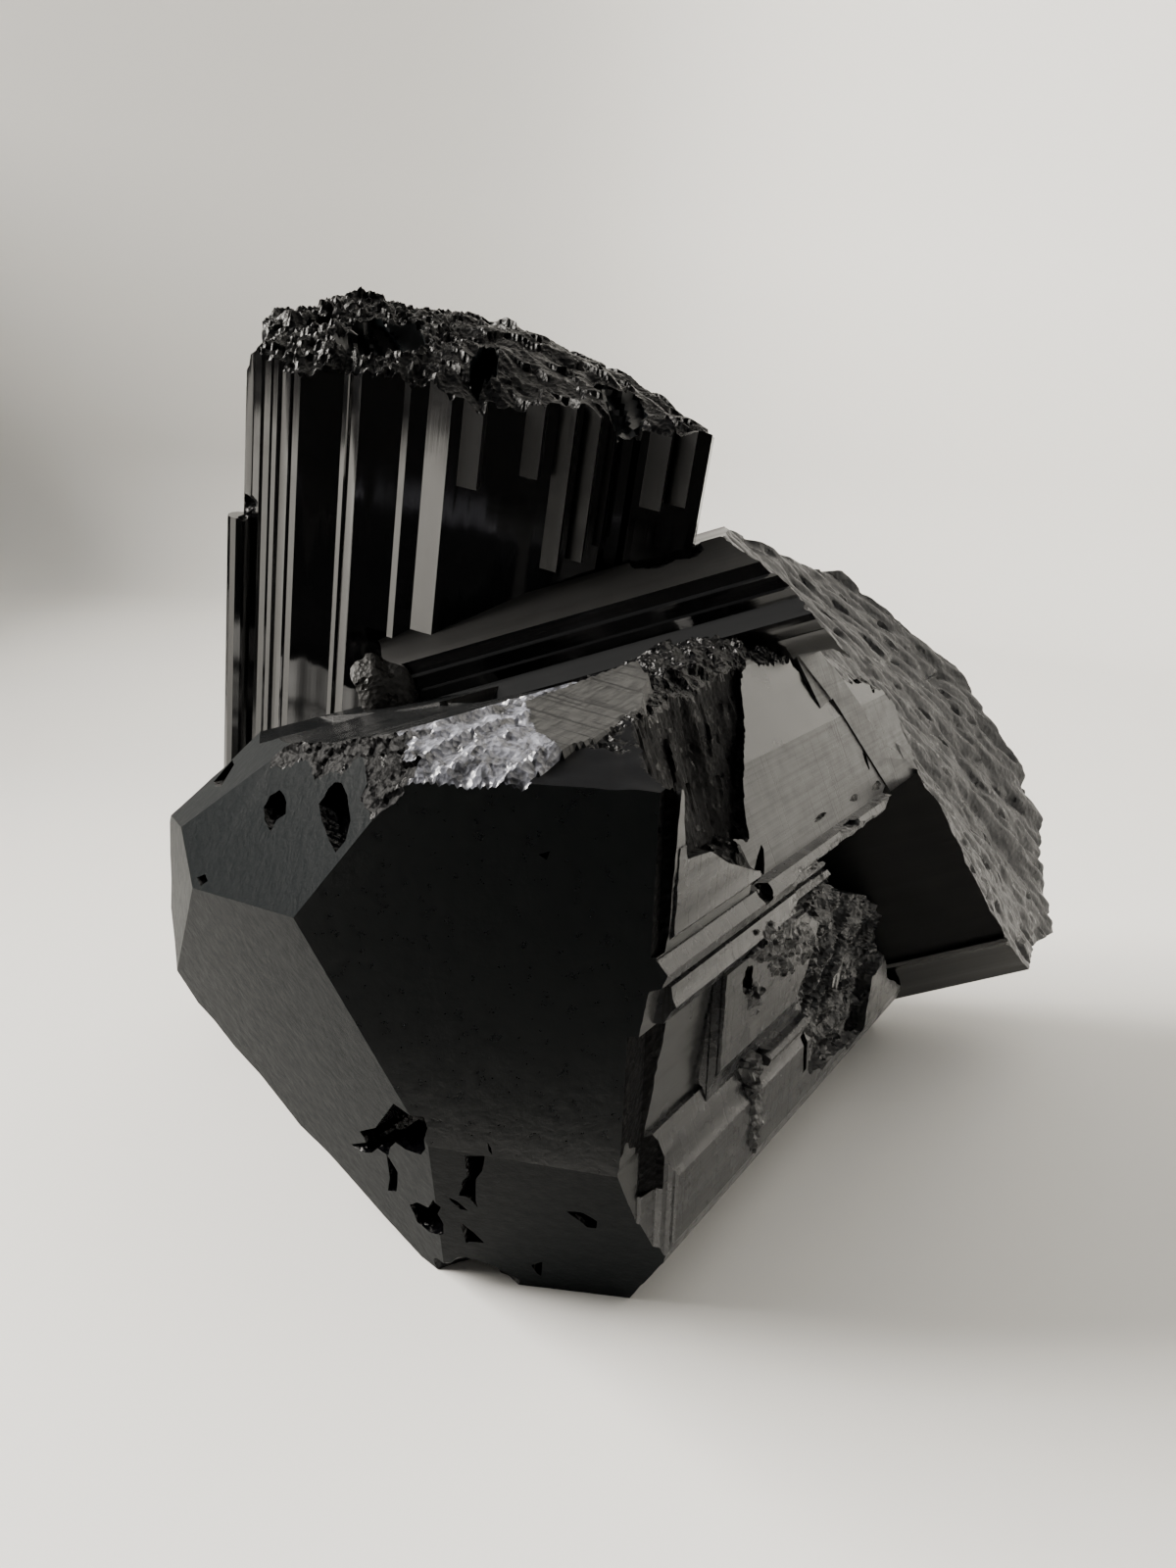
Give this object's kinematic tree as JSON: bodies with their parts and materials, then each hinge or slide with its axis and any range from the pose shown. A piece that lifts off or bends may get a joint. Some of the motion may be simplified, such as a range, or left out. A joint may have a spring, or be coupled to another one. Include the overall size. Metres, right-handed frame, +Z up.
{
  "type": "schorl crystal cluster",
  "caption": "Black tourmaline cluster of stout striated crystals grown together: one lying, one leaning across behind it and one upright, resting on a flat side.",
  "frame": {"origin": "on the flat underside of the lying crystal, near the middle of the cluster", "axes": "+Z up; +Y towards the back, where the upright crystal stands; +X to the right, along the cluster's longest extent, towards the leaning crystal's broken end"},
  "size_m": [0.0871, 0.0705, 0.0709],
  "materials": {
    "schorl": "opaque black vitreous crystal, long growth striations on the sides, satin to glossy faces, granular on the broken ends"
  },
  "bodies": {
    "root": {"schorl_cluster": "schorl"}
  },
  "joints": []
}
